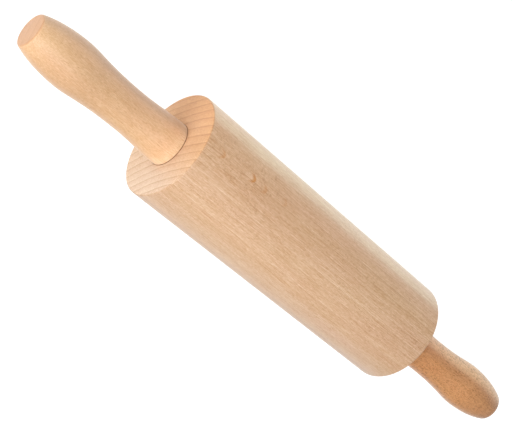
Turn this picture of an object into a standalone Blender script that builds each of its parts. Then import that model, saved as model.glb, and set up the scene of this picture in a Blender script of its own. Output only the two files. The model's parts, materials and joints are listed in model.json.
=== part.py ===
"""Beech rolling pin whose barrel turns on two ball bearings about a steel rod.

The pin's axis is X and the barrel's middle is the origin, with +Z up. Both ends are alike, so each is
modelled once in an end frame (origin on the barrel's end face, +X outwards) and placed by an empty.
"""

import math

import bmesh
import bpy
from mathutils import Matrix

MM = 0.001

# Driving dimensions
BARREL_RADIUS = 35 * MM
BARREL_LENGTH = 222 * MM
BARREL_EDGE_ROUND = 1.2 * MM
HANDLE_REACH = 110 * MM  # from the barrel's end face to the handle's tip
RUNNING_GAP = 0.4 * MM  # between the barrel's end face and the handle
AXLE_RADIUS = 4 * MM

# The handle's outline, as distances from the barrel's end face and radii
HANDLE_BASE_RADIUS = 14.4 * MM
HANDLE_BASE_PULL = 15.5 * MM
HANDLE_WAIST = (34.5 * MM, 13.0 * MM)
HANDLE_WAIST_PULLS = (14.0 * MM, 27.0 * MM)
HANDLE_BULGE = (78.5 * MM, 15.6 * MM)
HANDLE_BULGE_PULL = 9.5 * MM
HANDLE_TIP_RADIUS = 10.6 * MM
HANDLE_BASE_ROUND = 0.3 * MM
HANDLE_TIP_ROUND = 1.5 * MM

# Deep-groove ball bearing, 8 x 22 x 7 mm with seven balls
BEARING_RADIUS = 11 * MM
BEARING_WIDTH = 7 * MM
PITCH_RADIUS = 7.5 * MM
BALL_RADIUS = 1.98 * MM
BALL_COUNT = 7
GROOVE_RADIUS = 2.1 * MM
INNER_LAND_RADIUS = 6.05 * MM
OUTER_LAND_RADIUS = 8.95 * MM
RING_CHAMFER = 0.3 * MM

# Clearances: pieces that are pressed or rest together keep FIT_GAP between their meshes
FIT_GAP = 0.15 * MM
REST_GAP = 0.2 * MM

# Depths below the barrel's end face
BEARING_DEPTH = 2.3 * MM
SLEEVE_DEPTH = 1.0 * MM
SLEEVE_LIP = 1.5 * MM
SLEEVE_WALL = 1.55 * MM
SLEEVE_LIP_RADIUS = 8.6 * MM
AXLE_BORE_RADIUS = 6.5 * MM  # the rod goes in with both clips on it

# Fastening of rod to handle
INSERT_RADIUS = 5.5 * MM
INSERT_LENGTH = 28 * MM
INSERT_BARBS = 5
INSERT_BARB_DEPTH = 0.5 * MM
ROD_REACH = 34 * MM  # from the barrel's end face to the rod's tip, inside the handle
ROD_BORE_RADIUS = 4.6 * MM
ROD_CHAMFER = 0.7 * MM
SPACER_RADIUS = 5.9 * MM

# Retaining clip (E-shaped) in a groove of the rod
CLIP_THICKNESS = 0.7 * MM
CLIP_RADIUS = 6.0 * MM
CLIP_INNER_RADIUS = 3.15 * MM
CLIP_RELIEF_RADIUS = 4.4 * MM
CLIP_MOUTH = 5.2 * MM
CLIP_GROOVE_RADIUS = 3.0 * MM
CLIP_GROOVE_WIDTH = 0.9 * MM

# Shields and cage of a bearing, along the axis from the bearing's middle
SHIELD_PLAY = 0.1 * MM
SHIELD_STEP_X = 2.75 * MM
SHIELD_LIP_X = 3.25 * MM
SHIELD_RECESS_RADIUS = 9.95 * MM
SHIELD_LIP_RADIUS = 9.5 * MM
CAGE_FRONT = 1.1 * MM
CAGE_BACK = -2.6 * MM
CAGE_INNER_RADIUS = 6.5 * MM
CAGE_OUTER_RADIUS = 8.5 * MM
POCKET_RADIUS = 2.15 * MM

# Dimensions that follow from the driving ones
SLEEVE_LENGTH = BEARING_DEPTH - SLEEVE_DEPTH + BEARING_WIDTH + REST_GAP + SLEEVE_LIP
SLEEVE_SEAT_RADIUS = BEARING_RADIUS + SLEEVE_WALL + 2 * FIT_GAP
CLIP_DEPTH = BEARING_DEPTH + BEARING_WIDTH + REST_GAP
CLIP_GROOVE_DEPTH = CLIP_DEPTH - (CLIP_GROOVE_WIDTH - CLIP_THICKNESS) / 2
BEARING_CENTRE = -BEARING_DEPTH - BEARING_WIDTH / 2

# Faces round the axis
BARREL_SEGMENTS = 48
HANDLE_SEGMENTS = 36
RING_SEGMENTS = 28
SMALL_SEGMENTS = 24
BALL_SEGMENTS = (10, 6)

BEECH = (0.72, 0.50, 0.31, 1.0)
BEECH_HANDLE = (0.75, 0.51, 0.30, 1.0)
STEEL = (0.62, 0.63, 0.64, 1.0)
BALL_STEEL = (0.74, 0.75, 0.77, 1.0)
SPRING_STEEL = (0.20, 0.21, 0.23, 1.0)
BRASS = (0.72, 0.54, 0.25, 1.0)
NYLON = (0.86, 0.84, 0.78, 1.0)

AXLE_AXIS = "X"


def clear_scene():
    for obj in list(bpy.data.objects):
        bpy.data.objects.remove(obj)


def make_material(name, colour, roughness, metallic=0.0):
    material = bpy.data.materials.new(name)
    material.use_nodes = True
    shader = material.node_tree.nodes["Principled BSDF"]
    shader.inputs["Base Color"].default_value = colour
    shader.inputs["Roughness"].default_value = roughness
    shader.inputs["Metallic"].default_value = metallic
    material.diffuse_color = colour
    return material


def make_empty(name, location=(0, 0, 0), turn=0.0):
    empty = bpy.data.objects.new(name, None)
    empty.location = location
    empty.rotation_euler = (0, 0, turn)
    bpy.context.scene.collection.objects.link(empty)
    return empty


def make_object(name, mesh, material, parent, location=(0, 0, 0)):
    obj = bpy.data.objects.new(name, mesh)
    if material is not None:
        mesh.materials.clear()
        mesh.materials.append(material)
    obj.parent = parent
    obj.location = location
    bpy.context.scene.collection.objects.link(obj)
    return obj


def to_mesh(name, bm, sharp_angle=30):
    mesh = bpy.data.meshes.new(name)
    bm.to_mesh(mesh)
    bm.free()
    mesh.shade_smooth()
    mesh.set_sharp_from_angle(angle=math.radians(sharp_angle))
    return mesh


# Outlines. Each is a list of (x, radius) points in an end frame.


def arc(centre, radius, start, end, steps):
    """Points on a circle from start to end degrees, both included."""
    angles = [math.radians(start + (end - start) * i / steps) for i in range(steps + 1)]
    return [(centre[0] + radius * math.cos(a), centre[1] + radius * math.sin(a)) for a in angles]


def bezier(first, second, third, fourth, steps):
    """Points of a cubic curve after its first point."""
    points = []
    for i in range(1, steps + 1):
        t = i / steps
        weights = ((1 - t) ** 3, 3 * t * (1 - t) ** 2, 3 * t * t * (1 - t), t**3)
        corners = (first, second, third, fourth)
        points.append(tuple(sum(w * p[k] for w, p in zip(weights, corners)) for k in range(2)))
    return points


def rounded(before, corner, after, radius, steps=3):
    """The arc that rounds a corner, as points from the side before it to the side after it."""
    to_before = math.atan2(before[1] - corner[1], before[0] - corner[0])
    to_after = math.atan2(after[1] - corner[1], after[0] - corner[0])
    opening = (to_after - to_before + math.pi) % (2 * math.pi) - math.pi
    reach = radius / math.sin(abs(opening) / 2)
    middle = to_before + opening / 2
    centre = (corner[0] + reach * math.cos(middle), corner[1] + reach * math.sin(middle))
    turn = math.copysign(math.pi - abs(opening), opening)
    start = middle + math.pi + turn / 2
    angles = [start - turn * i / steps for i in range(steps + 1)]
    return [(centre[0] + radius * math.cos(a), centre[1] + radius * math.sin(a)) for a in angles]


def mirrored(half):
    """A closed outline from its +X half, listed from the outside to the axle side."""
    return half + [(-x, r) for x, r in reversed(half)]


# Solids


def turned(name, outline, segments):
    """A solid of revolution about X. An outline that starts and ends on the axis is left open there."""
    bm = bmesh.new()
    step = 2 * math.pi / segments
    verts = [bm.verts.new((x, 0, r)) for x, r in outline]
    edges = [bm.edges.new(pair) for pair in zip(verts, verts[1:])]
    if outline[0][1] > 0 or outline[-1][1] > 0:
        edges.append(bm.edges.new((verts[-1], verts[0])))
    # Half a step of turn puts a flat, and not an edge, at the bottom
    bmesh.ops.rotate(bm, cent=(0, 0, 0), matrix=Matrix.Rotation(step / 2, 3, AXLE_AXIS), verts=verts)
    bmesh.ops.spin(
        bm,
        geom=verts + edges,
        cent=(0, 0, 0),
        axis=(1, 0, 0),
        angle=2 * math.pi,
        steps=segments,
        use_merge=True,
    )
    bmesh.ops.remove_doubles(bm, verts=bm.verts, dist=1e-7)
    bmesh.ops.recalc_face_normals(bm, faces=bm.faces)
    return to_mesh(name, bm)


def ball_mesh(name, radius, centres=((0, 0, 0),)):
    """Spheres with their poles along X."""
    bm = bmesh.new()
    for centre in centres:
        made = bmesh.ops.create_uvsphere(
            bm, u_segments=BALL_SEGMENTS[0], v_segments=BALL_SEGMENTS[1], radius=radius
        )
        bmesh.ops.rotate(
            bm, cent=(0, 0, 0), matrix=Matrix.Rotation(math.pi / 2, 3, "Y"), verts=made["verts"]
        )
        bmesh.ops.translate(bm, vec=centre, verts=made["verts"])
    return to_mesh(name, bm, sharp_angle=80)


def ball_centres():
    turns = [2 * math.pi * i / BALL_COUNT for i in range(BALL_COUNT)]
    return [(0, PITCH_RADIUS * math.sin(a), PITCH_RADIUS * math.cos(a)) for a in turns]


# Sub-parts


def barrel_mesh():
    """The roller: a cylinder with rounded edges, a bore for the rod and a seat for each bearing sleeve."""
    half = BARREL_LENGTH / 2
    seat_depth = SLEEVE_DEPTH + SLEEVE_LENGTH + REST_GAP
    # The facets' middles, and not their edges, lie on the true cylinder
    radius = BARREL_RADIUS / math.cos(math.pi / BARREL_SEGMENTS)
    edge = rounded((0, radius), (half, radius), (half, 0), BARREL_EDGE_ROUND, 4)
    return turned(
        "barrel",
        mirrored(
            edge
            + [
                (half, SLEEVE_SEAT_RADIUS),
                (half - seat_depth, SLEEVE_SEAT_RADIUS),
                (half - seat_depth, AXLE_BORE_RADIUS),
            ]
        ),
        BARREL_SEGMENTS,
    )


def handle_outline():
    """From the rod bore's blind end, round the grip, back to the axis at the tip."""
    waist_x, waist_r = HANDLE_WAIST
    bulge_x, bulge_r = HANDLE_BULGE
    base = (RUNNING_GAP, HANDLE_BASE_RADIUS)
    grip = bezier(
        base,
        (base[0] + HANDLE_BASE_PULL, HANDLE_BASE_RADIUS),
        (waist_x - HANDLE_WAIST_PULLS[0], waist_r),
        HANDLE_WAIST,
        5,
    )
    grip += bezier(
        HANDLE_WAIST,
        (waist_x + HANDLE_WAIST_PULLS[1], waist_r),
        (bulge_x - HANDLE_BULGE_PULL, bulge_r),
        HANDLE_BULGE,
        6,
    )
    # From the bulge to the tip the outline is a quarter ellipse, cut off at the tip's radius
    cut = math.asin(HANDLE_TIP_RADIUS / bulge_r)
    half_length = (HANDLE_REACH - bulge_x) / math.cos(cut)
    steps = 6
    for i in range(1, steps + 1):
        a = math.pi / 2 + (cut - math.pi / 2) * i / steps
        grip.append((bulge_x + half_length * math.cos(a), bulge_r * math.sin(a)))
    tip = grip.pop()
    insert_end = RUNNING_GAP + INSERT_LENGTH + REST_GAP
    seat = INSERT_RADIUS + FIT_GAP
    return [
        (ROD_REACH + 2 * MM, 0),
        (ROD_REACH + 2 * MM, ROD_BORE_RADIUS),
        (insert_end, ROD_BORE_RADIUS),
        (insert_end, seat),
        (RUNNING_GAP, seat),
        *rounded((RUNNING_GAP, seat), base, grip[0], HANDLE_BASE_ROUND, 3),
        *grip,
        *rounded(grip[-1], tip, (HANDLE_REACH, 0), HANDLE_TIP_ROUND, 3),
        (HANDLE_REACH, 0),
    ]


def axle_outline():
    """The rod, with a chamfer at each tip and a groove for each retaining clip."""
    tip = BARREL_LENGTH / 2 + ROD_REACH
    groove = BARREL_LENGTH / 2 - CLIP_GROOVE_DEPTH
    return mirrored(
        [
            (tip, 0),
            (tip, AXLE_RADIUS - ROD_CHAMFER),
            (tip - ROD_CHAMFER, AXLE_RADIUS),
            (groove, AXLE_RADIUS),
            (groove, CLIP_GROOVE_RADIUS),
            (groove - CLIP_GROOVE_WIDTH, CLIP_GROOVE_RADIUS),
            (groove - CLIP_GROOVE_WIDTH, AXLE_RADIUS),
        ]
    )


def insert_outline():
    """A threaded insert for the handle, with barbs that point outwards to hold it in the wood."""
    start = RUNNING_GAP
    pitch = INSERT_LENGTH / INSERT_BARBS
    bore = AXLE_RADIUS + FIT_GAP
    points = [(start, bore)]
    for i in range(INSERT_BARBS):
        points.append((start + i * pitch, INSERT_RADIUS))
        points.append((start + (i + 1) * pitch, INSERT_RADIUS - INSERT_BARB_DEPTH))
    return points + [(start + INSERT_LENGTH, bore)]


def spacer_outline():
    """A washer that carries the clamping force from the insert to the bearing's inner ring."""
    outer = RUNNING_GAP - REST_GAP
    inner = -BEARING_DEPTH + REST_GAP
    bore = AXLE_RADIUS + FIT_GAP
    return [(inner, bore), (outer, bore), (outer, SPACER_RADIUS), (inner, SPACER_RADIUS)]


def sleeve_outline():
    """A nylon cup pressed into the barrel. Its lip stops the bearing going further in."""
    mouth = -SLEEVE_DEPTH
    bottom = mouth - SLEEVE_LENGTH
    inner = BEARING_RADIUS + FIT_GAP
    outer = inner + SLEEVE_WALL
    return [
        (mouth, outer),
        (mouth, inner),
        (bottom + SLEEVE_LIP, inner),
        (bottom + SLEEVE_LIP, SLEEVE_LIP_RADIUS),
        (bottom, SLEEVE_LIP_RADIUS),
        (bottom, outer),
    ]


def race_groove(land_radius):
    """The ball groove of a ring, from its +X land to its -X land."""
    edge = math.degrees(math.asin((land_radius - PITCH_RADIUS) / GROOVE_RADIUS))
    return arc((0, PITCH_RADIUS), GROOVE_RADIUS, edge, math.copysign(180, edge) - edge, 5)


def inner_ring_outline():
    half = BEARING_WIDTH / 2
    bore = AXLE_RADIUS + FIT_GAP
    return [
        (half, bore + RING_CHAMFER),
        (half, INNER_LAND_RADIUS),
        *race_groove(INNER_LAND_RADIUS),
        (-half, INNER_LAND_RADIUS),
        (-half, bore + RING_CHAMFER),
        (RING_CHAMFER - half, bore),
        (half - RING_CHAMFER, bore),
    ]


def outer_ring_outline():
    """The outer ring, with a recess and a lip at each side that hold a shield."""
    half = BEARING_WIDTH / 2
    side = [
        (half - RING_CHAMFER, BEARING_RADIUS),
        (half, BEARING_RADIUS - RING_CHAMFER),
        (half, SHIELD_LIP_RADIUS),
        (SHIELD_LIP_X, SHIELD_LIP_RADIUS),
        (SHIELD_LIP_X, SHIELD_RECESS_RADIUS),
        (SHIELD_STEP_X, SHIELD_RECESS_RADIUS),
        (SHIELD_STEP_X, OUTER_LAND_RADIUS),
    ]
    groove = race_groove(OUTER_LAND_RADIUS)
    return side + groove + [(-x, r) for x, r in reversed(side)]


def shield_outline(side):
    """A pressed disc behind the outer ring's lip, just clear of the inner ring."""
    near = side * (SHIELD_STEP_X + SHIELD_PLAY)
    far = side * (SHIELD_LIP_X - SHIELD_PLAY)
    outer = SHIELD_RECESS_RADIUS - REST_GAP
    inner = INNER_LAND_RADIUS + 0.25 * MM
    return [(near, inner), (far, inner), (far, outer), (near, outer)]


def cage_outline():
    """The ring of a one-piece snap-in cage. Its closed back is at -X."""
    return [
        (CAGE_FRONT, CAGE_INNER_RADIUS),
        (CAGE_FRONT, CAGE_OUTER_RADIUS),
        (CAGE_BACK, CAGE_OUTER_RADIUS),
        (CAGE_BACK, CAGE_INNER_RADIUS),
    ]


def clip_mesh():
    """An E-shaped retaining clip: a ring with a mouth, whose three lugs reach into the rod's groove."""
    outer_mouth = math.degrees(math.asin(CLIP_MOUTH / 2 / CLIP_RADIUS))
    inner_mouth = math.degrees(math.asin(CLIP_MOUTH / 2 / CLIP_INNER_RADIUS))
    origin = (0, 0)
    inside = []
    for radius, start, end, steps in (
        (CLIP_INNER_RADIUS, 360 - inner_mouth, 280, 2),
        (CLIP_RELIEF_RADIUS, 270, 215, 4),
        (CLIP_INNER_RADIUS, 205, 155, 4),
        (CLIP_RELIEF_RADIUS, 145, 90, 4),
        (CLIP_INNER_RADIUS, 80, inner_mouth, 2),
    ):
        inside += arc(origin, radius, start, end, steps)
    outside = arc(origin, CLIP_RADIUS, outer_mouth, 360 - outer_mouth, 20)
    bm = bmesh.new()
    face = bm.faces.new([bm.verts.new((0, y, z)) for y, z in outside + inside])
    made = bmesh.ops.extrude_face_region(bm, geom=[face])
    moved = [v for v in made["geom"] if isinstance(v, bmesh.types.BMVert)]
    bmesh.ops.translate(bm, vec=(-CLIP_THICKNESS, 0, 0), verts=moved)
    bmesh.ops.triangulate(bm, faces=bm.faces)
    bmesh.ops.recalc_face_normals(bm, faces=bm.faces)
    return to_mesh("retaining_clip", bm)



def build_bearing(side, end, steel, ball_steel, nylon):
    """A shielded ball bearing in an end frame. Its empty is on the pin's axis at the bearing's middle."""
    middle = make_empty(f"{side}_bearing_middle")
    middle.parent = end
    middle.location = (BEARING_CENTRE, 0, 0)
    for name, outline in (
        ("bearing_inner_ring", inner_ring_outline()),
        ("bearing_outer_ring", outer_ring_outline()),
        ("bearing_shield_outside", shield_outline(1)),
        ("bearing_shield_inside", shield_outline(-1)),
    ):
        make_object(f"{side}_{name}", turned(name, outline, RING_SEGMENTS), steel, middle)
    cage = make_object(
        f"{side}_bearing_cage",
        turned("bearing_cage", cage_outline(), RING_SEGMENTS),
        nylon,
        middle,
    )
    pockets = make_object(
        f"{side}_cage_pockets",
        ball_mesh("cage_pockets", POCKET_RADIUS, ball_centres()),
        None,
        middle,
    )
    pockets.hide_render = True
    pockets.display_type = "WIRE"
    cut = cage.modifiers.new("pockets", "BOOLEAN")
    cut.operation = "DIFFERENCE"
    cut.solver = "EXACT"
    cut.object = pockets
    ball = ball_mesh("bearing_ball", BALL_RADIUS)
    for number, centre in enumerate(ball_centres(), start=1):
        make_object(f"{side}_bearing_ball_{number}", ball, ball_steel, middle, centre)


def build_end(side, turn, materials):
    """Everything that one end of the pin holds."""
    direction = round(math.cos(turn))
    end = make_empty(f"{side}_end", (direction * BARREL_LENGTH / 2, 0, 0), turn)
    for name, outline, segments, material in (
        ("handle", handle_outline(), HANDLE_SEGMENTS, "handle"),
        ("threaded_insert", insert_outline(), SMALL_SEGMENTS, "brass"),
        ("spacer_washer", spacer_outline(), SMALL_SEGMENTS, "steel"),
        ("bearing_sleeve", sleeve_outline(), RING_SEGMENTS, "nylon"),
    ):
        make_object(f"{side}_{name}", turned(name, outline, segments), materials[material], end)
    clip_at = (-CLIP_DEPTH, 0, 0)
    make_object(f"{side}_retaining_clip", clip_mesh(), materials["spring"], end, clip_at)
    build_bearing(side, end, materials["steel"], materials["ball"], materials["nylon"])


def main():
    clear_scene()
    materials = {
        "barrel": make_material("beech", BEECH, 0.55),
        "handle": make_material("beech_handle", BEECH_HANDLE, 0.5),
        "steel": make_material("steel", STEEL, 0.3, 1.0),
        "ball": make_material("ball_steel", BALL_STEEL, 0.12, 1.0),
        "spring": make_material("spring_steel", SPRING_STEEL, 0.4, 1.0),
        "brass": make_material("brass", BRASS, 0.35, 1.0),
        "nylon": make_material("nylon", NYLON, 0.5),
    }
    axis = make_empty("pin_axis")
    make_object("barrel", barrel_mesh(), materials["barrel"], axis)
    rod = turned("axle_rod", axle_outline(), SMALL_SEGMENTS)
    make_object("axle_rod", rod, materials["steel"], axis)
    build_end("left", math.pi, materials)
    build_end("right", 0.0, materials)


main()
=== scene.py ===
import json
import math

import bmesh
import bpy
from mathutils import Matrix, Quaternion, Vector


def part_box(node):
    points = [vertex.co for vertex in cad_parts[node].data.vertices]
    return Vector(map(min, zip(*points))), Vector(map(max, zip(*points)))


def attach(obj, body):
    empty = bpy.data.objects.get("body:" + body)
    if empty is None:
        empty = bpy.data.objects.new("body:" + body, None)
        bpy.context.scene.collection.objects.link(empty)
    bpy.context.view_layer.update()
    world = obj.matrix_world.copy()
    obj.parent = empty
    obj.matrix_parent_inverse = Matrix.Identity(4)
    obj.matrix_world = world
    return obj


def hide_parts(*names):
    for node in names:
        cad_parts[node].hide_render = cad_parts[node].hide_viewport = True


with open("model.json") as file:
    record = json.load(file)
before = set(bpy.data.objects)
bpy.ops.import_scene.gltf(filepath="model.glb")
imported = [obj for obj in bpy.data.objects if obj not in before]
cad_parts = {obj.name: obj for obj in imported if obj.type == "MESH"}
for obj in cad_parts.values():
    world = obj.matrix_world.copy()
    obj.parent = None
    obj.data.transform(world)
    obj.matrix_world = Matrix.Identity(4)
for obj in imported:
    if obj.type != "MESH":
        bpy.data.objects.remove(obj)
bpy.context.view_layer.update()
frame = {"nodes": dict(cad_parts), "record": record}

MM = 0.001

# The handle's outline: distances from the barrel's end face and radii, in millimetres
HANDLE_BASE_RADIUS = 14.4
HANDLE_BASE_PULL = 15.5
HANDLE_WAIST = (34.5, 13.0)
HANDLE_WAIST_PULLS = (14.0, 27.0)
HANDLE_BULGE = (78.5, 15.6)
HANDLE_BULGE_PULL = 9.5
HANDLE_TIP_RADIUS = 10.6
HANDLE_BASE_ROUND = 0.2
HANDLE_TIP_ROUND = 1.8
SEAM_TAKE_UP = 0.26  # how far the handle's base reaches into the running gap
ROD_BORE_RADIUS = 4.6
ROD_BORE_DEPTH = 36
INSERT_BORE_RADIUS = 5.65
INSERT_BORE_LENGTH = 28.2

# The barrel's edges, bore and bearing seats, in millimetres
BARREL_EDGE_ROUND = 0.9
SEAT_EDGE_ROUND = 0.3
SEAT_RADIUS = 12.85
SEAT_DEPTH = 11.2
BORE_RADIUS = 6.5

# Faces round the axis and along the parts of the outline
BARREL_SEGMENTS = 288
HANDLE_SEGMENTS = 192
WAIST_STEPS = 24
BULGE_STEPS = 28
TIP_STEPS = 26
BARREL_EDGE_STEPS = 8
SEAT_EDGE_STEPS = 3
BASE_EDGE_STEPS = 4
TIP_EDGE_STEPS = 8
SHARP_ANGLE = 35

# Camera
CAMERA_PLACE = (-0.5109, 0.4012, 0.5955)
CAMERA_AIM = (0.55386, -0.46493, -0.69070)
LENS_MM = 99.6
SENSOR_MM = 36
CLIP_START = 0.01

# Light: softboxes by the direction they stand in, in degrees from +X round +Z and up, and in watts
SOFTBOXES = (
    ("side_softbox", 215, 35, 28),
    ("top_softbox", 120, 70, 28),
    ("end_softbox", 160, 20, 14),
    ("high_softbox", 180, 60, 18),
)
SOFTBOX_SIZE = 1.4
SOFTBOX_DISTANCE = 2.2
ROOM_LIGHT = 0.0

# Table
FLOOR_REACH = 4.0
FLOOR_DROP = 0.05 * MM
TABLE_COLOUR = (0.2, 0.2, 0.2, 1)
TABLE_ROUGHNESS = 0.8
TABLE_GLOW = 0.96


# Outlines, as lists of (x, radius)


def bezier(first, second, third, fourth, steps):
    """Points of a cubic curve after its first point."""
    corners = (first, second, third, fourth)
    points = []
    for i in range(1, steps + 1):
        t = i / steps
        weights = ((1 - t) ** 3, 3 * t * (1 - t) ** 2, 3 * t * t * (1 - t), t**3)
        points.append(tuple(sum(w * p[k] for w, p in zip(weights, corners)) for k in range(2)))
    return points


def rounded(before, corner, after, radius, steps):
    """The arc that rounds a corner, from the side before it to the side after it."""
    to_before = math.atan2(before[1] - corner[1], before[0] - corner[0])
    to_after = math.atan2(after[1] - corner[1], after[0] - corner[0])
    opening = (to_after - to_before + math.pi) % (2 * math.pi) - math.pi
    reach = radius / math.sin(abs(opening) / 2)
    middle = to_before + opening / 2
    centre = (corner[0] + reach * math.cos(middle), corner[1] + reach * math.sin(middle))
    turn = math.copysign(math.pi - abs(opening), opening)
    start = middle + math.pi + turn / 2
    angles = [start - turn * i / steps for i in range(steps + 1)]
    return [(centre[0] + radius * math.cos(a), centre[1] + radius * math.sin(a)) for a in angles]


def barrel_outline():
    """The roller with its bore and bearing seats, in millimetres."""
    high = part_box("barrel")[1]
    half = high.x / MM
    radius = high.z / MM
    edge, seat_edge = (half, radius), (half, SEAT_RADIUS)
    right = rounded((0, radius), edge, (half, 0), BARREL_EDGE_ROUND, BARREL_EDGE_STEPS)
    right += rounded(edge, seat_edge, (0, SEAT_RADIUS), SEAT_EDGE_ROUND, SEAT_EDGE_STEPS)
    right += [(half - SEAT_DEPTH, SEAT_RADIUS), (half - SEAT_DEPTH, BORE_RADIUS)]
    return right + [(-x, r) for x, r in reversed(right)]


def handle_outline(side):
    """A handle with its bores, in millimetres. side is -1 on the left and 1 on the right."""
    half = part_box("barrel")[1].x / MM
    low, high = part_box("right_handle")
    base_x, tip_x = low.x / MM - half - SEAM_TAKE_UP, high.x / MM - half
    waist_x, waist_r = HANDLE_WAIST
    bulge_x, bulge_r = HANDLE_BULGE
    base = (base_x, HANDLE_BASE_RADIUS)
    grip = bezier(
        base,
        (base_x + HANDLE_BASE_PULL, HANDLE_BASE_RADIUS),
        (waist_x - HANDLE_WAIST_PULLS[0], waist_r),
        HANDLE_WAIST,
        WAIST_STEPS,
    )
    grip += bezier(
        HANDLE_WAIST,
        (waist_x + HANDLE_WAIST_PULLS[1], waist_r),
        (bulge_x - HANDLE_BULGE_PULL, bulge_r),
        HANDLE_BULGE,
        BULGE_STEPS,
    )
    # Past the bulge the outline is part of an ellipse, cut off by the flat end face
    cut = math.asin(HANDLE_TIP_RADIUS / bulge_r)
    half_length = (tip_x - bulge_x) / math.cos(cut)
    for i in range(1, TIP_STEPS + 1):
        a = math.pi / 2 + (cut - math.pi / 2) * i / TIP_STEPS
        grip.append((bulge_x + half_length * math.cos(a), bulge_r * math.sin(a)))
    tip = grip.pop()
    outline = [
        (ROD_BORE_DEPTH, 0),
        (ROD_BORE_DEPTH, ROD_BORE_RADIUS),
        (base_x + INSERT_BORE_LENGTH, ROD_BORE_RADIUS),
        (base_x + INSERT_BORE_LENGTH, INSERT_BORE_RADIUS),
        (base_x, INSERT_BORE_RADIUS),
        *rounded((base_x, INSERT_BORE_RADIUS), base, grip[0], HANDLE_BASE_ROUND, BASE_EDGE_STEPS),
        *grip,
        *rounded(grip[-1], tip, (tip_x, 0), HANDLE_TIP_ROUND, TIP_EDGE_STEPS),
        (tip_x, 0),
    ]
    return [(side * (half + x), r) for x, r in outline]


# Meshes


def turned(name, outline, segments, material):
    """A solid of revolution about X from an outline in millimetres."""
    bm = bmesh.new()
    rings = []
    for x, r in outline:
        if r > 0:
            angles = [2 * math.pi * i / segments for i in range(segments)]
            places = [(x * MM, r * MM * math.sin(a), r * MM * math.cos(a)) for a in angles]
            rings.append([bm.verts.new(place) for place in places])
        else:
            rings.append([bm.verts.new((x * MM, 0, 0))] * segments)
    if outline[0][1] > 0:
        rings.append(rings[0])
    for ring, next_ring in zip(rings, rings[1:]):
        for i in range(segments):
            corners = (ring[i - 1], ring[i], next_ring[i], next_ring[i - 1])
            bm.faces.new(dict.fromkeys(corners))  # at the axis two corners are one vertex
    bmesh.ops.recalc_face_normals(bm, faces=bm.faces)
    mesh = bpy.data.meshes.new(name)
    bm.to_mesh(mesh)
    bm.free()
    mesh.shade_smooth()
    mesh.set_sharp_from_angle(angle=math.radians(SHARP_ANGLE))
    mesh.materials.append(material)
    obj = bpy.data.objects.new(name, mesh)
    bpy.context.scene.collection.objects.link(obj)
    return obj


# Materials


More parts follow.
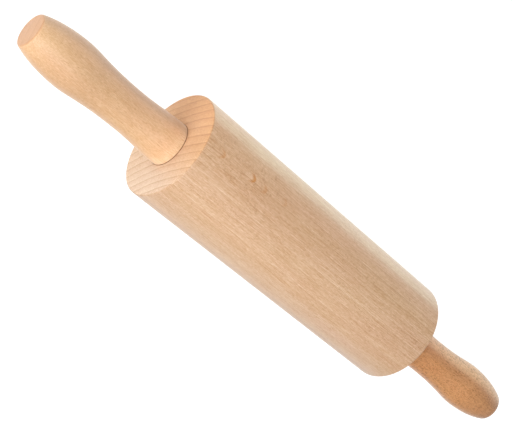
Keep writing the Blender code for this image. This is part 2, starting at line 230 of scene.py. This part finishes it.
class Nodes:
    """One material and the nodes in it. A value is a number, a tuple or another node's output."""

    def __init__(self, name):
        self.material = bpy.data.materials.new(name)
        self.material.use_nodes = True
        self.tree = self.material.node_tree
        self.shader = self.tree.nodes["Principled BSDF"]

    def feed(self, socket, value):
        if isinstance(value, bpy.types.NodeSocket):
            self.tree.links.new(value, socket)
        else:
            socket.default_value = value

    def make(self, kind, settings=(), **inputs):
        made = self.tree.nodes.new("ShaderNode" + kind)
        for key, value in dict(settings).items():
            setattr(made, key, value)
        for key, value in inputs.items():
            self.feed(made.inputs[key], value)
        return made

    def calc(self, operation, first, second=0.0, third=0.0):
        made = self.make("Math", {"operation": operation})
        for socket, value in zip(made.inputs, (first, second, third)):
            self.feed(socket, value)
        return made.outputs[0]

    def centred(self, value):
        return self.calc("SUBTRACT", value, 0.5)

    def hypotenuse(self, first, second):
        squares = [self.calc("MULTIPLY", side, side) for side in (first, second)]
        return self.calc("SQRT", self.calc("ADD", *squares))

    def vector(self, operation, first, second):
        made = self.make("VectorMath", {"operation": operation})
        self.feed(made.inputs[0], first)
        self.feed(made.inputs[1], second)
        return made.outputs[0]

    def dot(self, first, second):
        made = self.make("VectorMath", {"operation": "DOT_PRODUCT"})
        self.feed(made.inputs[0], first)
        self.feed(made.inputs[1], second)
        return made.outputs["Value"]

    def length(self, vector):
        made = self.make("VectorMath", {"operation": "LENGTH"})
        self.feed(made.inputs[0], vector)
        return made.outputs["Value"]

    def scaled_up(self, vector, factor):
        made = self.make("VectorMath", {"operation": "SCALE"})
        self.feed(made.inputs[0], vector)
        self.feed(made.inputs["Scale"], factor)
        return made.outputs[0]

    def combine(self, x, y, z):
        return self.make("CombineXYZ", X=x, Y=y, Z=z).outputs[0]

    def split(self, vector):
        return tuple(self.make("SeparateXYZ", Vector=vector).outputs)

    def noise(self, vector, detail):
        return self.make("TexNoise", Vector=vector, Scale=1.0, Detail=detail).outputs["Fac"]

    def cells(self, vector):
        """Cells scattered at random: the distance from a cell's middle and a chance value of the cell."""
        made = self.make("TexVoronoi", Vector=vector, Scale=1.0, Randomness=1.0)
        chance = self.make("SeparateColor", Color=made.outputs["Color"]).outputs[0]
        return made.outputs["Distance"], chance

    def step(self, value, low, high, to_low=0.0, to_high=1.0):
        made = self.make("MapRange", {"interpolation_type": "SMOOTHSTEP"})
        for key, given in (
            ("Value", value),
            ("From Min", low),
            ("From Max", high),
            ("To Min", to_low),
            ("To Max", to_high),
        ):
            self.feed(made.inputs[key], given)
        return made.outputs[0]

    def mix(self, factor, first, second, blend="MIX"):
        made = self.make("Mix", {"data_type": "RGBA", "blend_type": blend})
        self.feed(made.inputs[0], factor)
        self.feed(made.inputs[6], first)
        self.feed(made.inputs[7], second)
        return made.outputs[2]

    def mix_values(self, factor, first, second):
        made = self.make("Mix", {"data_type": "FLOAT"})
        self.feed(made.inputs[0], factor)
        self.feed(made.inputs[2], first)
        self.feed(made.inputs[3], second)
        return made.outputs[0]

    def times(self, colour, tint):
        return self.mix(1.0, colour, tint, "MULTIPLY")

    def washed(self, amount, colour, tint):
        """A colour that goes over to the colour times a tint where the amount is 1."""
        return self.mix(amount, colour, self.times(colour, tint))

    def ramp(self, value, stops):
        """A curve through (position, grey level) or (position, colour) stops."""
        made = self.make("ValToRGB", Fac=value)
        elements = made.color_ramp.elements
        while len(elements) < len(stops):
            elements.new(0.5)
        for element, (position, level) in zip(elements, stops):
            element.position = position
            element.color = level if isinstance(level, tuple) else (level, level, level, 1)
        return made.outputs["Color"]

    def bump(self, height, distance):
        return self.make("Bump", Height=height, Distance=distance).outputs["Normal"]


# Noise in the wood: millimetres along the grain, round the pith and outward, a shift, and the detail
PATTERNS = {
    "ring_wobble": (50.0, 16.0, 3.5, 0.0, 2.0),
    "ring_strength": (60.0, 10.0, 12.0, 3.0, 2.0),
    "ripple": (2.5, 3.0, 2.2, 5.0, 1.0),
    "ray_cluster": (40.0, 10.0, 14.0, 11.0, 2.0),
    "fibre": (15.0, 0.45, 0.45, 0.0, 0.0),
    "dash": (1.8, 0.34, 0.34, 9.0, 0.0),
    "band": (150.0, 5.0, 6.0, 0.0, 2.0),
    "cloud": (60.0, 25.0, 25.0, 4.0, 2.0),
    "blush": (90.0, 14.0, 18.0, 8.0, 1.0),
}
BUNDLES = (2.2, 0.28, 0.28, 2.0)  # cells of fibres, as a pattern without the detail
WANDER_SCALE = (0.008, 0.02, 0.02)

# Growth rings: the tone from one late-wood line to the next, on end grain and on the sides
END_RING = (
    (0.0, 0.35),
    (0.04, 0.72),
    (0.12, 0.84),
    (0.25, 0.72),
    (0.55, 0.6),
    (0.82, 0.48),
    (0.93, 0.1),
    (0.97, 0.02),
)
SIDE_RING = (
    (0.0, 0.4),
    (0.02, 0.8),
    (0.05, 1.0),
    (0.09, 0.6),
    (0.3, 0.52),
    (0.8, 0.46),
    (0.94, 0.3),
    (0.98, 0.2),
)
SWELL_PERIOD = 50
SWELL_REACH = -0.8
WOBBLE_REACH = 1.2
STRENGTH_SPREAD = 2.2
RING_TONE_SPREAD = 0.08

# Medullary rays: length, thickness and depth of their cells, size in the cell, and a shift
BROAD_RAYS = (2.0, 0.42, 5.0, 0.42, 0.0)
NARROW_RAYS = (1.2, 0.3, 2.4, 0.45, 7.3)
NARROW_STRENGTH = 0.8
LEAST_RAY = 0.4
RAY_RIPPLE = 2.0
RAY_ON_END = 0.4
RAY_EDGE = (1.0, 0.4)
CLUSTER_EDGE = (0.38, 0.68)
DASH_EDGE = (0.58, 0.72)

# Crescents: half-moon marks across the grain, in millimetres from their tips
CRESCENT_ARM = 35.0
CRESCENT_RIPPLE = 1.5
CRESCENT_BEND = 0.33
CRESCENT_TAIL = (-3.2, -0.6)
CRESCENT_FRONT = (0.7, -0.1)
CRESCENT_SIDES = (3.6, 1.4)

# Tints and where they lie, painted light and shade among them
BLUSH_SPREAD = 1.6
BLUSH_LEVEL = 0.3
BLUSH_ON_END = -0.85
DIM_TINT = (0.85, 0.75, 0.62, 1)
BRIGHT_TINT = (1.12, 1.22, 1.32, 1)
# Painted shade: a darker tint on the rounded rims between end and side, where the light makes a bright
# edge.
PAINTED_RIM_SHADE_TINT = (0.8, 0.76, 0.72, 1)
NO_TINT = (1.0, 1.0, 1.0, 1)
END_EDGE = (0.5, 0.9)  # how far a face leans toward the end before it counts as end grain
RIM_START = (0.1, 0.35)
RIM_STOP = (0.97, 0.85)
# Across each end face the colour goes from painted light toward -Y and up to painted shade toward +Y and
# down, along this direction and over this span in millimetres.
SIDEWAYS = (0.94, -0.34)
SIDEWAYS_SPAN = (-24.0, 30.0)
# Over this depth from the pith, which lies above the barrel, the colour goes from painted light on top to
# painted shade underneath.
OUTWARD_SPAN = (-32.0, 24.0)
# Painted shade round the joint of handle and barrel: how fast the dark ring fades on an end face and on a
# side.
FACE_PAINTED_SHADE_FADE = 0.15
SIDE_PAINTED_SHADE_FADE = 0.1

# Surface: how far the figure shows in the gloss and in the relief
FIBRE_GLOSS = 0.2
RAY_GLOSS = -0.08
SHEEN_ROUGHNESS = 0.4
FIGURE_RELIEF = 0.3
RELIEF_DEPTH = 0.025 * MM


class Beech(Nodes):
    """Solid beech: growth rings about a pith beside the piece, medullary rays, pores and streaks.

    Every pattern is a function of the place in the wood, so end grain, flat-sawn and quarter-sawn
    faces each get their own figure. look holds what differs between pieces. Over the figure lie painted
    light and shade: stripes along the sides, gradients on top, underneath and across the end faces, darker
    rims, lighter handle bases and a dark ring round each joint.
    """

    def __init__(self, name, look):
        super().__init__(name)
        self.look = look
        self.measure_place()
        self.measure_grain()
        self.grow_rings()
        self.grow_rays()
        self.grow_fibres()
        wood = self.body_colour()
        wood = self.marked(wood)
        wood = self.shaded(wood)
        wood = self.tinted(wood)
        wood = self.with_painted_seam_shade(wood)
        self.feed(self.shader.inputs["Base Color"], wood)
        self.finish_surface()

    def measure_place(self):
        """The place in the piece in millimetres, and how far the face leans toward the end."""
        texture = self.make("TexCoord")
        self.place = self.scaled_up(texture.outputs["Object"], 1 / MM)
        self.x, self.y, self.z = self.split(self.place)
        self.from_middle = self.calc("ABSOLUTE", self.x)
        self.from_axis = self.length(self.vector("MULTIPLY", self.place, (0, 1, 1)))
        self.lean = self.calc("ABSOLUTE", self.split(texture.outputs["Normal"])[0])
        self.end = self.step(self.lean, *END_EDGE)

    def measure_grain(self):
        """The place in the wood: along the grain, round the pith, and depth from the piece's axis."""
        wander = self.look["wander"]
        shifted = self.vector("ADD", self.place, (self.look["shift"], 0, 0))
        slow = self.make("TexNoise", Vector=self.vector("MULTIPLY", shifted, WANDER_SCALE), Scale=1.0)
        drift = self.vector("SUBTRACT", slow.outputs["Color"], (0.5, 0.5, 0.5))
        grain = self.vector("ADD", shifted, self.vector("MULTIPLY", drift, (0, wander, wander)))
        self.along, grain_y, grain_z = self.split(grain)

        pith_y, pith_z = self.look["pith"]
        reach = math.hypot(pith_y, pith_z)
        y = self.calc("SUBTRACT", grain_y, pith_y)
        z = self.calc("SUBTRACT", grain_z, pith_z)
        away_y, away_z = -pith_y / reach, -pith_z / reach
        out = self.calc("MULTIPLY_ADD", y, away_y, self.calc("MULTIPLY", z, away_z))
        across = self.calc("MULTIPLY_ADD", y, away_z, self.calc("MULTIPLY", z, -away_y))
        self.depth = self.calc("SUBTRACT", self.hypotenuse(y, z), reach)
        self.around = self.calc("MULTIPLY", self.calc("ARCTAN2", across, out), reach)

    def stretched(self, length, round_width, deep_width, shift):
        """The place in the wood in units of a length along the grain, round the pith and outward."""
        return self.combine(
            self.calc("MULTIPLY_ADD", self.along, 1 / length, shift),
            self.calc("MULTIPLY", self.around, 1 / round_width),
            self.calc("MULTIPLY", self.depth, 1 / deep_width),
        )

    def pattern(self, name):
        *lengths, shift, detail = PATTERNS[name]
        return self.noise(self.stretched(*lengths, shift), detail)

    def grow_rings(self):
        """Growth rings: a thin dark line of late wood, then pale early wood."""
        turns = self.calc("MULTIPLY_ADD", self.depth, 2 * math.pi / SWELL_PERIOD, self.look["swell_phase"])
        swell = self.calc("COSINE", turns)
        start = self.calc("ADD", self.depth, self.look["ring_start"])
        rings = self.calc("MULTIPLY_ADD", swell, SWELL_REACH, start)
        wobble = self.centred(self.pattern("ring_wobble"))
        rings = self.calc("MULTIPLY_ADD", wobble, WOBBLE_REACH, rings)
        rings = self.calc("DIVIDE", rings, self.look["ring_pitch"])
        ring = self.calc("FRACT", rings)
        whole = self.make("TexWhiteNoise", {"noise_dimensions": "1D"}, W=self.calc("FLOOR", rings))
        self.ring_tone = self.centred(whole.outputs["Value"])
        self.end_ring = self.centred(self.ramp(ring, END_RING))
        strength = self.centred(self.pattern("ring_strength"))
        strength = self.calc("MULTIPLY_ADD", strength, STRENGTH_SPREAD, 1.0)
        self.side_ring = self.calc("MULTIPLY", self.centred(self.ramp(ring, SIDE_RING)), strength)

    def ray_layer(self, length, thick, deep, size, shift):
        """Thin plates in the radial direction, short along the grain."""
        scale = self.look["fleck_size"]
        rippled = self.calc("MULTIPLY_ADD", self.ripple, RAY_RIPPLE, self.around)
        cell = self.combine(
            self.calc("MULTIPLY_ADD", self.along, 1 / (length * scale), shift),
            self.calc("MULTIPLY", rippled, 1 / (thick * scale)),
            self.calc("MULTIPLY", self.depth, 1 / (deep * scale)),
        )
        distance, chance = self.cells(cell)
        reach = self.calc("MULTIPLY_ADD", chance, size, size * LEAST_RAY)
        inside = self.calc("DIVIDE", distance, reach)
        return self.calc("MULTIPLY", self.step(inside, *RAY_EDGE), chance)

    def grow_rays(self):
        """Medullary rays, broad and narrow, in clusters."""
        self.ripple = self.centred(self.pattern("ripple"))
        broad = self.ray_layer(*BROAD_RAYS)
        narrow = self.calc("MULTIPLY", self.ray_layer(*NARROW_RAYS), NARROW_STRENGTH)
        cluster = self.step(self.pattern("ray_cluster"), *CLUSTER_EDGE, self.look["scatter"], 1.0)
        self.ray = self.calc("MULTIPLY", self.calc("MAXIMUM", broad, narrow), cluster)

    def grow_fibres(self):
        """Fibres, bundles of them and pores, drawn out along the grain."""
        self.fibre = self.centred(self.pattern("fibre"))
        self.speck = self.centred(self.cells(self.stretched(*BUNDLES))[1])
        self.dash = self.step(self.pattern("dash"), *DASH_EDGE)

    def body_colour(self):
        """The colour from rings, bands and clouds, with a blush on the sides."""
        look = self.look
        tone = self.calc("MULTIPLY_ADD", self.centred(self.pattern("band")), look["bands"], 0.5)
        tone = self.calc("MULTIPLY_ADD", self.centred(self.pattern("cloud")), look["clouds"], tone)
        tone = self.calc("MULTIPLY_ADD", self.ring_tone, RING_TONE_SPREAD, tone)
        ring = self.mix_values(self.end, self.side_ring, self.end_ring)
        ring_weight = self.mix_values(self.end, look["side_rings"], look["end_rings"])
        tone = self.calc("MULTIPLY_ADD", ring, ring_weight, tone)
        wood = self.ramp(tone, ((0.0, look["dark"]), (0.5, look["middle"]), (1.0, look["light"])))
        blush = self.centred(self.pattern("blush"))
        blush = self.calc("MULTIPLY_ADD", blush, BLUSH_SPREAD, BLUSH_LEVEL)
        blush = self.calc("MULTIPLY", blush, self.calc("MULTIPLY_ADD", self.end, BLUSH_ON_END, 1.0))
        return self.washed(blush, wood, look["blush"])

    def marked(self, wood):
        """The wood with its rays, pores and crescents."""
        look = self.look
        ray_weight = self.mix_values(self.end, look["rays"], look["rays"] * RAY_ON_END)
        wood = self.mix(self.calc("MULTIPLY", self.ray, ray_weight), wood, look["ray_colour"])
        wood = self.mix(self.calc("MULTIPLY", self.dash, look["dashes"]), wood, look["ray_colour"])
        for tip_x, tip_turn, strength in look["crescents"]:
            mark = self.calc("MULTIPLY", self.crescent(tip_x, tip_turn), strength)
            wood = self.mix(mark, wood, look["crescent_colour"])
        return wood

    def crescent(self, tip_x, tip_turn):
        """A half-moon mark with its tip at a place along the piece and at an angle round it."""
        turn = self.calc("ARCTAN2", self.y, self.z)
        turn = self.calc("SUBTRACT", turn, math.radians(tip_turn))
        uneven = self.calc("MULTIPLY", self.ripple, CRESCENT_RIPPLE)
        aside = self.calc("MULTIPLY_ADD", turn, CRESCENT_ARM, uneven)
        ahead = self.calc("SUBTRACT", self.x, tip_x)
        bow = self.calc("MULTIPLY_ADD", self.calc("MULTIPLY", aside, aside), CRESCENT_BEND, ahead)
        core = self.calc("MULTIPLY", self.step(bow, *CRESCENT_TAIL), self.step(bow, *CRESCENT_FRONT))
        arm = self.step(self.calc("ABSOLUTE", aside), *CRESCENT_SIDES)
        return self.calc("MULTIPLY", core, arm)

    def shaded(self, wood):
        """The wood darker and lighter from fibre to fibre."""
        shade = self.calc("MULTIPLY_ADD", self.fibre, self.look["fibre"], 0.5)
        shade = self.calc("MULTIPLY_ADD", self.speck, self.look["speck"], shade)
        return self.mix(shade, self.times(wood, DIM_TINT), self.times(wood, BRIGHT_TINT))

    def tinted(self, wood):
        """The wood with its end-grain tint, and with painted light and shade: gradients over the piece and
        its end faces, darker rims, stripes along the sides and lighter handle bases.
        """
        look = self.look
        wood = self.washed(self.end, wood, look["end_tint"])
        # Painted light and shade across the end faces: paler and bluer toward -Y and up, deeper toward +Y
        # and down, where the handle shades the face.
        up = self.calc("MULTIPLY", self.z, SIDEWAYS[1])
        sideways = self.calc("MULTIPLY_ADD", self.y, SIDEWAYS[0], up)
        shift = self.mix(self.step(sideways, *SIDEWAYS_SPAN), look["end_painted_light"], look["end_painted_shade"])
        wood = self.washed(self.end, wood, shift)
        # Painted shade on the rounded rims, damping their bright edge.
        painted_rim_shade = self.calc("MULTIPLY", self.step(self.lean, *RIM_START), self.step(self.lean, *RIM_STOP))
        wood = self.washed(self.calc("MULTIPLY", painted_rim_shade, look["painted_rim_shade"]), wood, PAINTED_RIM_SHADE_TINT)
        # Painted light and shade by depth from the pith above the piece: paler and bluer on top, darker
        # and more orange underneath.
        outward = self.step(self.depth, *OUTWARD_SPAN)
        wood = self.times(wood, self.mix(outward, look["painted_top_light"], look["painted_underside_shade"]))
        side = self.calc("SUBTRACT", 1.0, self.end)
        # Stripes of painted light and shade along the sides: pale tints are painted sheen and highlights,
        # dark tints painted shade; they stay off the end faces.
        for *angles, tint in look["painted_light_and_shade_stripes"]:
            wood = self.washed(self.calc("MULTIPLY", self.painted_stripe(*angles), side), wood, tint)
        # Painted light near a handle's base: the near handle catches light back from the barrel's end
        # face, the far one lies in the barrel's shade.
        return self.washed(self.step(self.from_middle, *look["painted_base_light_reach"]), wood, look["painted_base_light"])

    def painted_stripe(self, centre, outer_half, inner_half):
        """Where a stripe of painted light or shade lies along the piece, by its angle from +Z toward +Y
        and its half widths, in degrees.
        """
        toward = (0, math.sin(math.radians(centre)), math.cos(math.radians(centre)))
        outward = self.vector("DIVIDE", self.place, self.combine(*[self.from_axis] * 3))
        edges = math.cos(math.radians(outer_half)), math.cos(math.radians(inner_half))
        return self.step(self.dot(outward, toward), *edges)

    def with_painted_seam_shade(self, wood):
        """The wood with painted shade where handle and barrel meet: a dark ring on the wood round the real
        gap of the joint, darkening the line the gap leaves.
        """
        radius, x = self.look["seam_radius"], self.look["seam_x"]
        on_face = self.step(self.from_axis, radius, radius - FACE_PAINTED_SHADE_FADE)
        on_face = self.calc("MULTIPLY", self.end, on_face)
        on_side = self.step(self.from_middle, x, x - SIDE_PAINTED_SHADE_FADE)
        return self.mix(self.calc("MAXIMUM", on_face, on_side), wood, self.look["seam_painted_shade"])

    def finish_surface(self):
        """Gloss, sheen and the fine relief of the grain."""
        inputs = self.shader.inputs
        gloss = self.calc("MULTIPLY_ADD", self.fibre, FIBRE_GLOSS, self.look["roughness"])
        self.feed(inputs["Roughness"], self.calc("MULTIPLY_ADD", self.ray, RAY_GLOSS, gloss))
        inputs["Specular IOR Level"].default_value = self.look["specular"]
        inputs["Sheen Weight"].default_value = self.look["sheen"]
        inputs["Sheen Roughness"].default_value = SHEEN_ROUGHNESS
        height = self.calc("MULTIPLY_ADD", self.speck, FIGURE_RELIEF, self.fibre)
        height = self.calc("MULTIPLY_ADD", self.side_ring, FIGURE_RELIEF, height)
        height = self.calc("MULTIPLY_ADD", self.dash, -FIGURE_RELIEF, height)
        self.feed(inputs["Normal"], self.bump(height, RELIEF_DEPTH))


# What differs between pieces, with lengths in millimetres and angles in degrees:
# pith is its place beside the piece's axis, in y and z, and shift is where along the grain the piece
# was cut. A crescent is the x of its tip, its angle and its strength. A stripe of painted light or
# shade along the sides is an angle, an outer and an inner half width, and a tint. The painted light
# near a handle's base comes in between the two distances from the middle given for it. The seam's
# painted shade covers an end face within seam_radius and a side within seam_x.
BARREL_LOOK = {
    "pith": (-39.1, 136.0),
    "shift": 0.0,
    "wander": 2.2,
    "ring_start": 32.0,
    "swell_phase": 2 * math.pi * 36 / SWELL_PERIOD,
    "ring_pitch": 5.45,
    "side_rings": 0.7,
    "end_rings": 0.95,
    "bands": 0.45,
    "clouds": 0.32,
    "fibre": 1.05,
    "speck": 0.6,
    "rays": 0.5,
    "fleck_size": 1.15,
    "scatter": 0.2,
    # Painted shade on the rounded rims.
    "painted_rim_shade": 0.8,
    "dashes": 0.3,
    "dark": (0.562, 0.322, 0.165, 1),
    "middle": (0.680, 0.425, 0.241, 1),
    "light": (0.756, 0.515, 0.312, 1),
    "ray_colour": (0.438, 0.211, 0.084, 1),
    "crescents": ((-95.6, 59, 0.6), (-69.5, 60, 1.0), (-59.1, 59, 0.5), (-41.6, 62, 0.35)),
    "crescent_colour": (0.58, 0.25, 0.075, 1),
    "blush": (1.01, 0.95, 1.02, 1),
    "end_tint": (0.959, 0.930, 0.883, 1),
    # Painted light and shade across the end faces.
    "end_painted_light": (0.979, 1.087, 1.286, 1),
    "end_painted_shade": (0.968, 0.829, 0.681, 1),
    "seam_radius": 14.68,
    "seam_x": 0.0,
    # Painted shade round the joint.
    "seam_painted_shade": (0.28, 0.085, 0.0, 1),
    # Painted light and shade: a pale painted sheen low on the +Y side, a little painted light near the top
    # toward -Y, painted shade further round toward -Y.
    "painted_light_and_shade_stripes": (
        (120, 42, 20, (1.25, 1.57, 1.90, 1)),
        (-22, 20, 8, (1.03, 1.07, 1.13, 1)),
        (-62, 32, 16, (0.86, 0.80, 0.74, 1)),
    ),
    "painted_base_light_reach": (110.0, 111.0),
    "painted_base_light": NO_TINT,
    # Painted light on top and painted shade underneath.
    "painted_top_light": (1.0, 1.05, 1.14, 1),
    "painted_underside_shade": (0.93, 0.89, 0.82, 1),
    "roughness": 0.5,
    "specular": 0.42,
    "sheen": 0.42,
}
NEAR_HANDLE_LOOK = BARREL_LOOK | {
    "pith": (95.0, 60.0),
    "shift": 310.0,
    "wander": 3.0,
    "ring_start": 3.0,
    "side_rings": 0.15,
    "end_rings": 0.4,
    "crescents": (),
    "bands": 0.25,
    "clouds": 0.2,
    "fibre": 0.5,
    "speck": 0.5,
    "rays": 0.3,
    "painted_rim_shade": 0.0,
    "dark": (0.555, 0.333, 0.174, 1),
    "middle": (0.704, 0.446, 0.251, 1),
    "light": (0.779, 0.536, 0.328, 1),
    "end_tint": (0.784, 0.664, 0.593, 1),
    "end_painted_light": NO_TINT,
    "end_painted_shade": NO_TINT,
    "seam_radius": 0.0,
    "seam_x": 111.34,
    # Painted shade low on the +Y side, where the barrel shades the handle.
    "painted_light_and_shade_stripes": ((120, 52, 22, (0.87, 0.89, 0.92, 1)),),
    # Painted light near the base, for light thrown back from the barrel's end face.
    "painted_base_light_reach": (121.0, 112.0),
    "painted_base_light": (1.05, 1.16, 1.25, 1),
    "painted_top_light": NO_TINT,
    "painted_underside_shade": NO_TINT,
    "roughness": 0.45,
    "sheen": 0.25,
}
FAR_HANDLE_LOOK = NEAR_HANDLE_LOOK | {
    "pith": (50.0, 75.0),
    "shift": -250.0,
    "rays": 1.0,
    "fleck_size": 1.45,
    "scatter": 0.75,
    "dark": (0.490, 0.228, 0.090, 1),
    "middle": (0.635, 0.318, 0.136, 1),
    "light": (0.735, 0.391, 0.188, 1),
    "ray_colour": (0.30, 0.115, 0.035, 1),
    # A painted highlight stripe low on the +Y side, with a line of painted shade beside it.
    "painted_light_and_shade_stripes": ((116, 62, 34, (1.24, 1.55, 1.85, 1)), (54, 20, 4, (0.93, 0.93, 0.97, 1))),
    # Painted light near the base, brightening the shade the barrel casts there.
    "painted_base_light_reach": (170.0, 135.0),
    "painted_base_light": (1.1, 1.07, 1.06, 1),
    "sheen": 0.35,
}

# Metal: turning marks and patches of polish, and how much they show in the gloss and in the relief
MARKS_PER_MM = 14.0
PATCHES_PER_MM = 0.35
MARK_GLOSS = 0.1
PATCH_GLOSS = 0.2
METAL_DARK = 0.78
MARK_DEPTH = 0.004 * MM

# Nylon: a fine grain and slow clouds
NYLON_GRAIN_PER_MM = 6.0
NYLON_CLOUDS_PER_MM = 0.25
NYLON_DARK = 0.9
NYLON_ROUGHNESS = 0.4
NYLON_GLOSS = 0.15
NYLON_RELIEF = 0.01 * MM


def metal(name, colour, roughness):
    """Machined metal with fine turning marks round the axis and a little uneven polish."""
    n = Nodes(name)
    place = n.scaled_up(n.make("TexCoord").outputs["Object"], 1 / MM)
    x, y, z = n.split(place)
    along = n.calc("MULTIPLY", x, MARKS_PER_MM)
    outward = n.calc("MULTIPLY", n.hypotenuse(y, z), MARKS_PER_MM)
    marks = n.noise(n.combine(along, outward, 0.0), detail=3.0)
    patches = n.noise(n.scaled_up(place, PATCHES_PER_MM), detail=3.0)
    tone = n.calc("MULTIPLY_ADD", patches, 0.5, n.calc("MULTIPLY", marks, 0.5))
    dark = tuple(c * METAL_DARK for c in colour)
    n.feed(n.shader.inputs["Base Color"], n.mix(tone, (*dark, 1), (*colour, 1)))
    n.shader.inputs["Metallic"].default_value = 1.0
    gloss = n.calc("MULTIPLY_ADD", marks, MARK_GLOSS, roughness - (MARK_GLOSS + PATCH_GLOSS) / 2)
    n.feed(n.shader.inputs["Roughness"], n.calc("MULTIPLY_ADD", patches, PATCH_GLOSS, gloss))
    n.feed(n.shader.inputs["Normal"], n.bump(marks, MARK_DEPTH))
    return n.material


def nylon(name, colour):
    """Moulded nylon: a fine matt texture and a slight unevenness of tone."""
    n = Nodes(name)
    place = n.scaled_up(n.make("TexCoord").outputs["Object"], 1 / MM)
    grain = n.noise(n.scaled_up(place, NYLON_GRAIN_PER_MM), detail=3.0)
    cloud = n.noise(n.scaled_up(place, NYLON_CLOUDS_PER_MM), detail=2.0)
    dark = tuple(c * NYLON_DARK for c in colour)
    n.feed(n.shader.inputs["Base Color"], n.mix(cloud, (*dark, 1), (*colour, 1)))
    n.feed(n.shader.inputs["Roughness"], n.calc("MULTIPLY_ADD", grain, NYLON_GLOSS, NYLON_ROUGHNESS))
    n.feed(n.shader.inputs["Normal"], n.bump(grain, NYLON_RELIEF))
    return n.material


# The scene


def build_piece(node, body, outline, segments, look):
    """One wooden piece in place of its CAD node."""
    piece = turned(f"{node}_wood", outline, segments, Beech(f"{node}_beech", look).material)
    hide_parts(node)
    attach(piece, body)


def build_wood():
    build_piece("barrel", "barrel", barrel_outline(), BARREL_SEGMENTS, BARREL_LOOK)
    for node, side, look in (
        ("left_handle", -1, NEAR_HANDLE_LOOK),
        ("right_handle", 1, FAR_HANDLE_LOOK),
    ):
        build_piece(node, "handles_and_rod", handle_outline(side), HANDLE_SEGMENTS, look)


def finish_inner_parts():
    """Materials for the CAD nodes that stay, by their slots."""
    finishes = {
        "zinc_steel": metal("zinc_steel", (0.66, 0.66, 0.65), 0.38),
        "bearing_steel": metal("bearing_steel", (0.68, 0.69, 0.70), 0.25),
        "shield_steel": metal("shield_steel", (0.62, 0.63, 0.64), 0.35),
        "ball_steel": metal("ball_steel", (0.78, 0.79, 0.80), 0.18),
        "spring_steel": metal("spring_steel", (0.20, 0.20, 0.22), 0.42),
        "brass": metal("brass", (0.75, 0.58, 0.28), 0.36),
        "nylon": nylon("nylon", (0.88, 0.86, 0.80)),
    }
    for part in frame["record"]["subparts"]:
        finish = finishes.get(part["material_slot"])
        if finish is None:
            continue
        obj = frame["nodes"][part["node"]]
        obj.data.materials.clear()
        obj.data.materials.append(finish)


def build_floor():
    """A plain pale table with an even glow, so that the ground round the pin is white."""
    bm = bmesh.new()
    bmesh.ops.create_grid(bm, x_segments=1, y_segments=1, size=FLOOR_REACH)
    mesh = bpy.data.meshes.new("floor")
    bm.to_mesh(mesh)
    bm.free()
    floor = bpy.data.objects.new("floor", mesh)
    floor.location = (0, 0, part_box("barrel")[0].z - FLOOR_DROP)
    bpy.context.scene.collection.objects.link(floor)
    n = Nodes("lit_table")
    n.shader.inputs["Base Color"].default_value = TABLE_COLOUR
    n.shader.inputs["Roughness"].default_value = TABLE_ROUGHNESS
    n.shader.inputs["Emission Color"].default_value = (1, 1, 1, 1)
    n.shader.inputs["Emission Strength"].default_value = TABLE_GLOW
    mesh.materials.append(n.material)


def build_light():
    """Four large softboxes over the pin's left half, in a room that gives no light of its own."""
    world = bpy.data.worlds.new("studio")
    world.use_nodes = True
    background = world.node_tree.nodes["Background"]
    background.inputs["Color"].default_value = (1, 1, 1, 1)
    background.inputs["Strength"].default_value = ROOM_LIGHT
    bpy.context.scene.world = world
    for name, azimuth, elevation, watts in SOFTBOXES:
        light = bpy.data.lights.new(name, "AREA")
        light.shape = "SQUARE"
        light.size = SOFTBOX_SIZE
        light.energy = watts
        lamp = bpy.data.objects.new(name, light)
        turn, rise = math.radians(azimuth), math.radians(elevation)
        level = math.cos(rise)
        toward = Vector((level * math.cos(turn), level * math.sin(turn), math.sin(rise)))
        lamp.location = SOFTBOX_DISTANCE * toward
        lamp.rotation_mode = "QUATERNION"
        lamp.rotation_quaternion = (-toward).to_track_quat("-Z", "Y")
        bpy.context.scene.collection.objects.link(lamp)


def build_camera():
    """The camera looks down at the pin from beyond the left handle, turned half round its view line."""
    camera = bpy.data.objects.new("camera", bpy.data.cameras.new("camera"))
    camera.data.lens = LENS_MM
    camera.data.sensor_width = SENSOR_MM
    camera.data.clip_start = CLIP_START
    camera.location = CAMERA_PLACE
    upright = Vector(CAMERA_AIM).to_track_quat("-Z", "Y")
    half_turn = Quaternion((0, 0, 1), math.pi)
    camera.rotation_mode = "QUATERNION"
    camera.rotation_quaternion = upright @ half_turn
    bpy.context.scene.collection.objects.link(camera)
    bpy.context.scene.camera = camera


build_wood()
finish_inner_parts()
build_floor()
build_light()
build_camera()
bpy.context.scene.view_settings.view_transform = "Standard"
